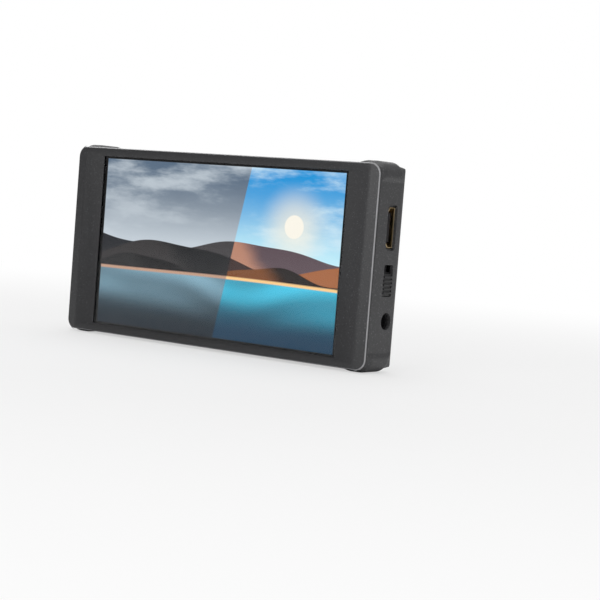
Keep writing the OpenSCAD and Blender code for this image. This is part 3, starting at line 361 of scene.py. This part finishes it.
# black film with a thin gold line round the larger label; its place and line are in mm
ratingLabel = {
    "middle": 3.5, "half": (20.2, 11.6), "line": 0.3, "lineEdge": (0.8, 1.1), "gold": (0.55, 0.4, 0.18),
    "goldMetal": 0.6, "film": ((0.003, 0.003, 0.0035), (0.006, 0.006, 0.0065)), "grain": 2600, "detail": 2.0,
    "rough": 0.2, "spread": 0.1, "shine": 0.3, "bump": 0.08, "depth": 0.01 * mm,
}


def printedLabel(name):
    paint = Paint(name)
    look = ratingLabel
    x, y, z = paint.axes()
    pastX = (x - look["middle"] * mm).size() - look["half"][0] * mm
    pastZ = (z - midHeight).size() - look["half"][1] * mm
    line = 1.0 - (pastX.most(pastZ).size() / (look["line"] * mm)).ramp(*look["lineEdge"])
    speck = paint.noise(look["grain"], look["detail"])
    shade = paint.blend(line, paint.blend(speck, *look["film"]), look["gold"])
    return paint.finish(Base_Color=shade, Metallic=line * look["goldMetal"],
                        Roughness=look["rough"] + speck * look["spread"], Specular_IOR_Level=look["shine"],
                        Normal=paint.bump(speck, look["bump"], look["depth"]))


solderMask = {
    "mask": (0.012, 0.075, 0.045), "track": (0.03, 0.14, 0.08), "scale": 700.0, "trackFrom": (0.3, 0.4),
    "cloud": 500, "detail": 2.0, "rough": 0.3, "spread": 0.15, "bump": 0.1, "depth": 0.03 * mm,
}


def boardMask(name):
    paint = Paint(name)
    look = solderMask
    inputs = {"Vector": paint.where, "Scale": look["scale"]}
    tracks = paint.node("ShaderNodeTexVoronoi", {"distance": "MANHATTAN"}, inputs)["Distance"]
    cloud = paint.noise(look["cloud"], look["detail"])
    shade = paint.blend(tracks.ramp(*look["trackFrom"]), look["mask"], look["track"])
    return paint.finish(Base_Color=shade, Roughness=look["rough"] + cloud * look["spread"],
                        Normal=paint.bump(tracks, look["bump"], look["depth"]))


# by the record's material slots; a plain finish takes its kind, colour, roughness and grain
finishes = {
    "frame_plastic": mouldedTexture("frame plastic", texturedPlastic["frame"], texturedPlastic["frameRough"]),
    "housing_plastic": mouldedTexture("housing plastic", texturedPlastic["housing"],
                                      texturedPlastic["housingRough"]),
    "black_plastic": plainFinish("black plastic", "satin", (0.011, 0.011, 0.012), 0.4, 900),
    "switch_plastic": plainFinish("switch plastic", "satin", (0.02, 0.02, 0.021), 0.38, 900),
    "cover_glass": coverGlassFinish("cover glass"),
    "screen": litPicture("lit picture"),
    "light_sheet": plainFinish("light sheet", "flat", (0.82, 0.84, 0.85), 0.5, 300),
    "trim_aluminium": brushedAluminium("brushed aluminium"),
    "sheet_steel": plainFinish("sheet steel", "metal", (0.56, 0.57, 0.58), 0.34, 400),
    "contact_metal": plainFinish("contact plating", "metal", (0.78, 0.78, 0.77), 0.2, 900),
    "socket_gold": plainFinish("gold plating", "metal", (0.78, 0.6, 0.34), 0.3, 700),
    "socket_pale": plainFinish("pale plastic", "flat", (0.7, 0.67, 0.58), 0.45, 600),
    "circuit_board": boardMask("board mask"),
    "chip_black": plainFinish("chip resin", "grainy", (0.02, 0.02, 0.022), 0.6, 3000),
    "heat_pad": plainFinish("heat pad gel", "grainy", (0.33, 0.48, 0.6), 0.8, 900),
    "flat_cable": plainFinish("cable film", "flat", (0.58, 0.31, 0.07), 0.3, 500),
    "wire_red": plainFinish("lead insulation", "flat", (0.45, 0.025, 0.025), 0.45, 900),
    "label_black": printedLabel("printed label"),
    "insert_brass": plainFinish("turned brass", "metal", (0.72, 0.54, 0.26), 0.25, 500),
}
slotOf = {row["node"]: row["material_slot"] for row in frame["record"]["subparts"]}
for nodeName, piece in nodes.items():
    piece.data.materials.clear()
    piece.data.materials.append(finishes[slotOf[nodeName]])
print("finishes", len(finishes))


# visible pieces as copies with softened edges: each one's name and its bevel in mm
softEdges = {
    "front_frame": ("frontFrame", 0.1), "rear_housing": ("rearHousing", 0.14),
    "top_trim_strip": ("topTrimStrip", 0.08), "bottom_trim_strip": ("bottomTrimStrip", 0.08),
    "battery_plate": ("batteryPlate", 0.2), "contact_block": ("contactBlock", 0.15),
    "contact_blades": ("contactBlades", 0.2), "spec_label": ("ratingLabel", 0.03),
    "serial_label": ("serialLabel", 0.03), "release_slider": ("releaseSlider", 0.25),
    "battery_latch": ("batteryLatch", 0.25), "function_slider": ("functionSlider", 0.12),
    "power_slider": ("powerSlider", 0.12), "usb_shell": ("usbShell", 0.06),
    "hdmi_out_shell": ("videoOutShell", 0.06), "hdmi_in_shell": ("videoInShell", 0.06),
    "usb_insert": ("usbInsert", 0.15), "hdmi_out_insert": ("videoOutInsert", 0.12),
    "hdmi_in_insert": ("videoInInsert", 0.12), "headphone_ring": ("headphoneRing", 0.12),
    "headphone_jack": ("headphoneJack", 0.1), "dc_jack": ("inletJack", 0.15), "dc_pin": ("inletPin", 0.15),
    "tripod_insert": ("tripodInsert", 0.15), "cover_glass": ("coverGlass", 0.12),
    "lcd_panel": ("displayPanel", 0.12),
}
panelAir = (0, 0.02 * mm, 0)  # how far the lit panel steps back from the glass
# merging distance in mm; angles of flat joints, of edges to bevel and of breaks in the shading, in degrees
softening = {"merge": 0.002, "flat": 0.6, "crease": 34, "smooth": 50, "segments": 2}


def finishPiece(work, name, nodeName, sharp):
    bmesh.ops.recalc_face_normals(work, faces=work.faces)
    if nodeName == "lcd_panel":
        bmesh.ops.translate(work, verts=work.verts, vec=panelAir)
    mesh = bpy.data.meshes.new(name)
    work.to_mesh(mesh)
    work.free()
    mesh.shade_smooth()
    mesh.set_sharp_from_angle(angle=radians(sharp))
    piece = bpy.data.objects.new(name, mesh)
    bpy.context.scene.collection.objects.link(piece)
    mesh.materials.append(finishes[slotOf[nodeName]])
    weighted = piece.modifiers.new("flat faces", "WEIGHTED_NORMAL")
    weighted.keep_sharp = True
    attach(piece, nodes[nodeName]["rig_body"])
    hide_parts(nodeName)
    return piece


def bevelEdges(work, size, segments, angle, wanted):
    sharp = [e for e in work.edges if e.is_manifold and e.is_convex
             and e.calc_face_angle(0) > radians(angle) and wanted(e)]
    bmesh.ops.bevel(work, geom=sharp, offset=size * mm, offset_type="OFFSET", segments=segments, profile=0.5,
                    affect="EDGES", clamp_overlap=False, material=-1)


def anyEdge(edge):
    return True


def onRim(edge):  # whether an edge runs round the frame's outer rim, near the front
    beside, behind = [], []
    for vert in edge.verts:
        pastX = max(0, abs(vert.co.x) / mm - rimBevel["half"][0] + rimBevel["corner"])
        pastZ = max(0, abs(vert.co.z - midHeight) / mm - rimBevel["half"][1] + rimBevel["corner"])
        beside.append(hypot(pastX, pastZ) - rimBevel["corner"])
        behind.append((vert.co.y - frontDepth) / mm)
    inRange = rimBevel["edgeFrom"] < min(behind) and max(behind) < rimBevel["edgeTo"]
    return min(beside) > -rimBevel["near"] and inRange


def softened(nodeName, name, size):
    work = bmesh.new()
    work.from_mesh(nodes[nodeName].data)
    bmesh.ops.remove_doubles(work, verts=work.verts, dist=softening["merge"] * mm)
    bmesh.ops.dissolve_limit(work, angle_limit=radians(softening["flat"]), verts=work.verts, edges=work.edges)
    if nodeName == "front_frame":
        bevelEdges(work, rimBevel["size"], 1, softening["crease"], onRim)
        bevelEdges(work, size, softening["segments"], rimBevel["crisp"], anyEdge)
        return finishPiece(work, name, nodeName, softening["crease"])
    bevelEdges(work, size, softening["segments"], softening["crease"], anyEdge)
    return finishPiece(work, name, nodeName, softening["smooth"])


for nodeName, (name, size) in softEdges.items():
    piece = softened(nodeName, name, size)
    print("softened", name, len(piece.data.polygons))


# the floor is plain white far off and keeps the object's shadow close to it
paleFloor = {
    "colour": (0.9, 0.9, 0.9), "dark": 0.99, "size": 6.0, "grain": 3.0, "detail": 2.0, "rough": 0.9,
    "near": 0.12, "far": 0.55, "white": 0.55,
}
studioWorld = 0.3  # its strength to all but the camera, which sees it white


def makeFloor():
    look = paleFloor
    work = bmesh.new()
    bmesh.ops.create_grid(work, x_segments=1, y_segments=1, size=look["size"])
    mesh = bpy.data.meshes.new("floor")
    work.to_mesh(mesh)
    work.free()
    floor = bpy.data.objects.new("floor", mesh)
    bpy.context.scene.collection.objects.link(floor)
    paint = Paint("pale floor")
    speck = paint.noise(look["grain"], look["detail"])
    shade = paint.blend(speck, tint(look["colour"], look["dark"]), look["colour"])
    away = paint.node("ShaderNodeVectorMath", {"operation": "LENGTH"}, {0: paint.where})["Value"]
    seen = paint.node("ShaderNodeLightPath")["Is Camera Ray"]
    white = paint.node("ShaderNodeEmission", {}, {"Color": (1, 1, 1), "Strength": 1.0})["Emission"]
    share = (away.ramp(look["near"], look["far"]) * (1.0 - look["white"]) + look["white"]) * seen
    mixed = paint.node("ShaderNodeMixShader", {}, {0: share, 1: paint.surface, 2: white})["Shader"]
    paint.plug(mixed, paint.output.inputs["Surface"])
    mesh.materials.append(paint.finish(Base_Color=shade, Roughness=look["rough"]))


def makeWorld():
    world = bpy.data.worlds.new("studio")
    world.use_nodes = True
    bpy.context.scene.world = world
    tree = NodeTree(world.node_tree)
    strength = tree.node("ShaderNodeLightPath")["Is Camera Ray"].most(studioWorld)
    back = tree.node("ShaderNodeBackground", {}, {"Color": (1, 1, 1), "Strength": strength})["Background"]
    tree.add("ShaderNodeOutputWorld", {}, {"Surface": back})


# the edge lamp stands low, so it is left out of reflections, where it would glare
lamps = {
    "edge": {"place": (0.96, -0.47, 0.12), "wide": 0.45, "tall": 0.45, "power": 4.0, "glossy": False},
    "front": {"place": (-0.15, -1.15, 0.2), "wide": 0.35, "tall": 0.35, "power": 1.8, "glossy": True},
    "fill": {"place": (0.15, -1.0, 0.7), "wide": 0.5, "tall": 0.5, "power": 1.2, "glossy": True},
    "behind": {"place": (-0.75, 0.95, 0.35), "wide": 0.9, "tall": 0.7, "power": 3.0, "glossy": True},
    "above": {"place": (-0.1, 0.1, 1.0), "wide": 1.3, "tall": 1.3, "power": 6.5, "glossy": True},
}


def makeLamps():
    for name, lamp in lamps.items():
        light = bpy.data.lights.new(name, "AREA")
        light.shape, light.energy = "RECTANGLE", lamp["power"]
        light.size, light.size_y = lamp["wide"], lamp["tall"]
        holder = bpy.data.objects.new(name, light)
        place = Vector(lamp["place"])
        aim = (Vector((0, 0, midHeight)) - place).to_track_quat("-Z", "Y")
        holder.matrix_world = Matrix.Translation(place) @ aim.to_matrix().to_4x4()
        holder.visible_camera = False
        holder.visible_glossy = lamp["glossy"]
        bpy.context.scene.collection.objects.link(holder)


photoCamera = {
    "place": (0.37707, -0.46905, 0.05644), "turn": (86.6502, -4.5236, 36.3169), "lens": 94.854, "sensor": 36,
}


def makeCamera():
    lens = bpy.data.cameras.new("camera")
    lens.lens, lens.sensor_width = photoCamera["lens"], photoCamera["sensor"]
    camera = bpy.data.objects.new("camera", lens)
    camera.location = photoCamera["place"]
    camera.rotation_euler = [radians(a) for a in photoCamera["turn"]]
    bpy.context.scene.collection.objects.link(camera)
    bpy.context.scene.camera = camera


makeFloor()
makeWorld()
makeLamps()
makeCamera()
bpy.context.scene.view_settings.view_transform = "Standard"
print("stage set")
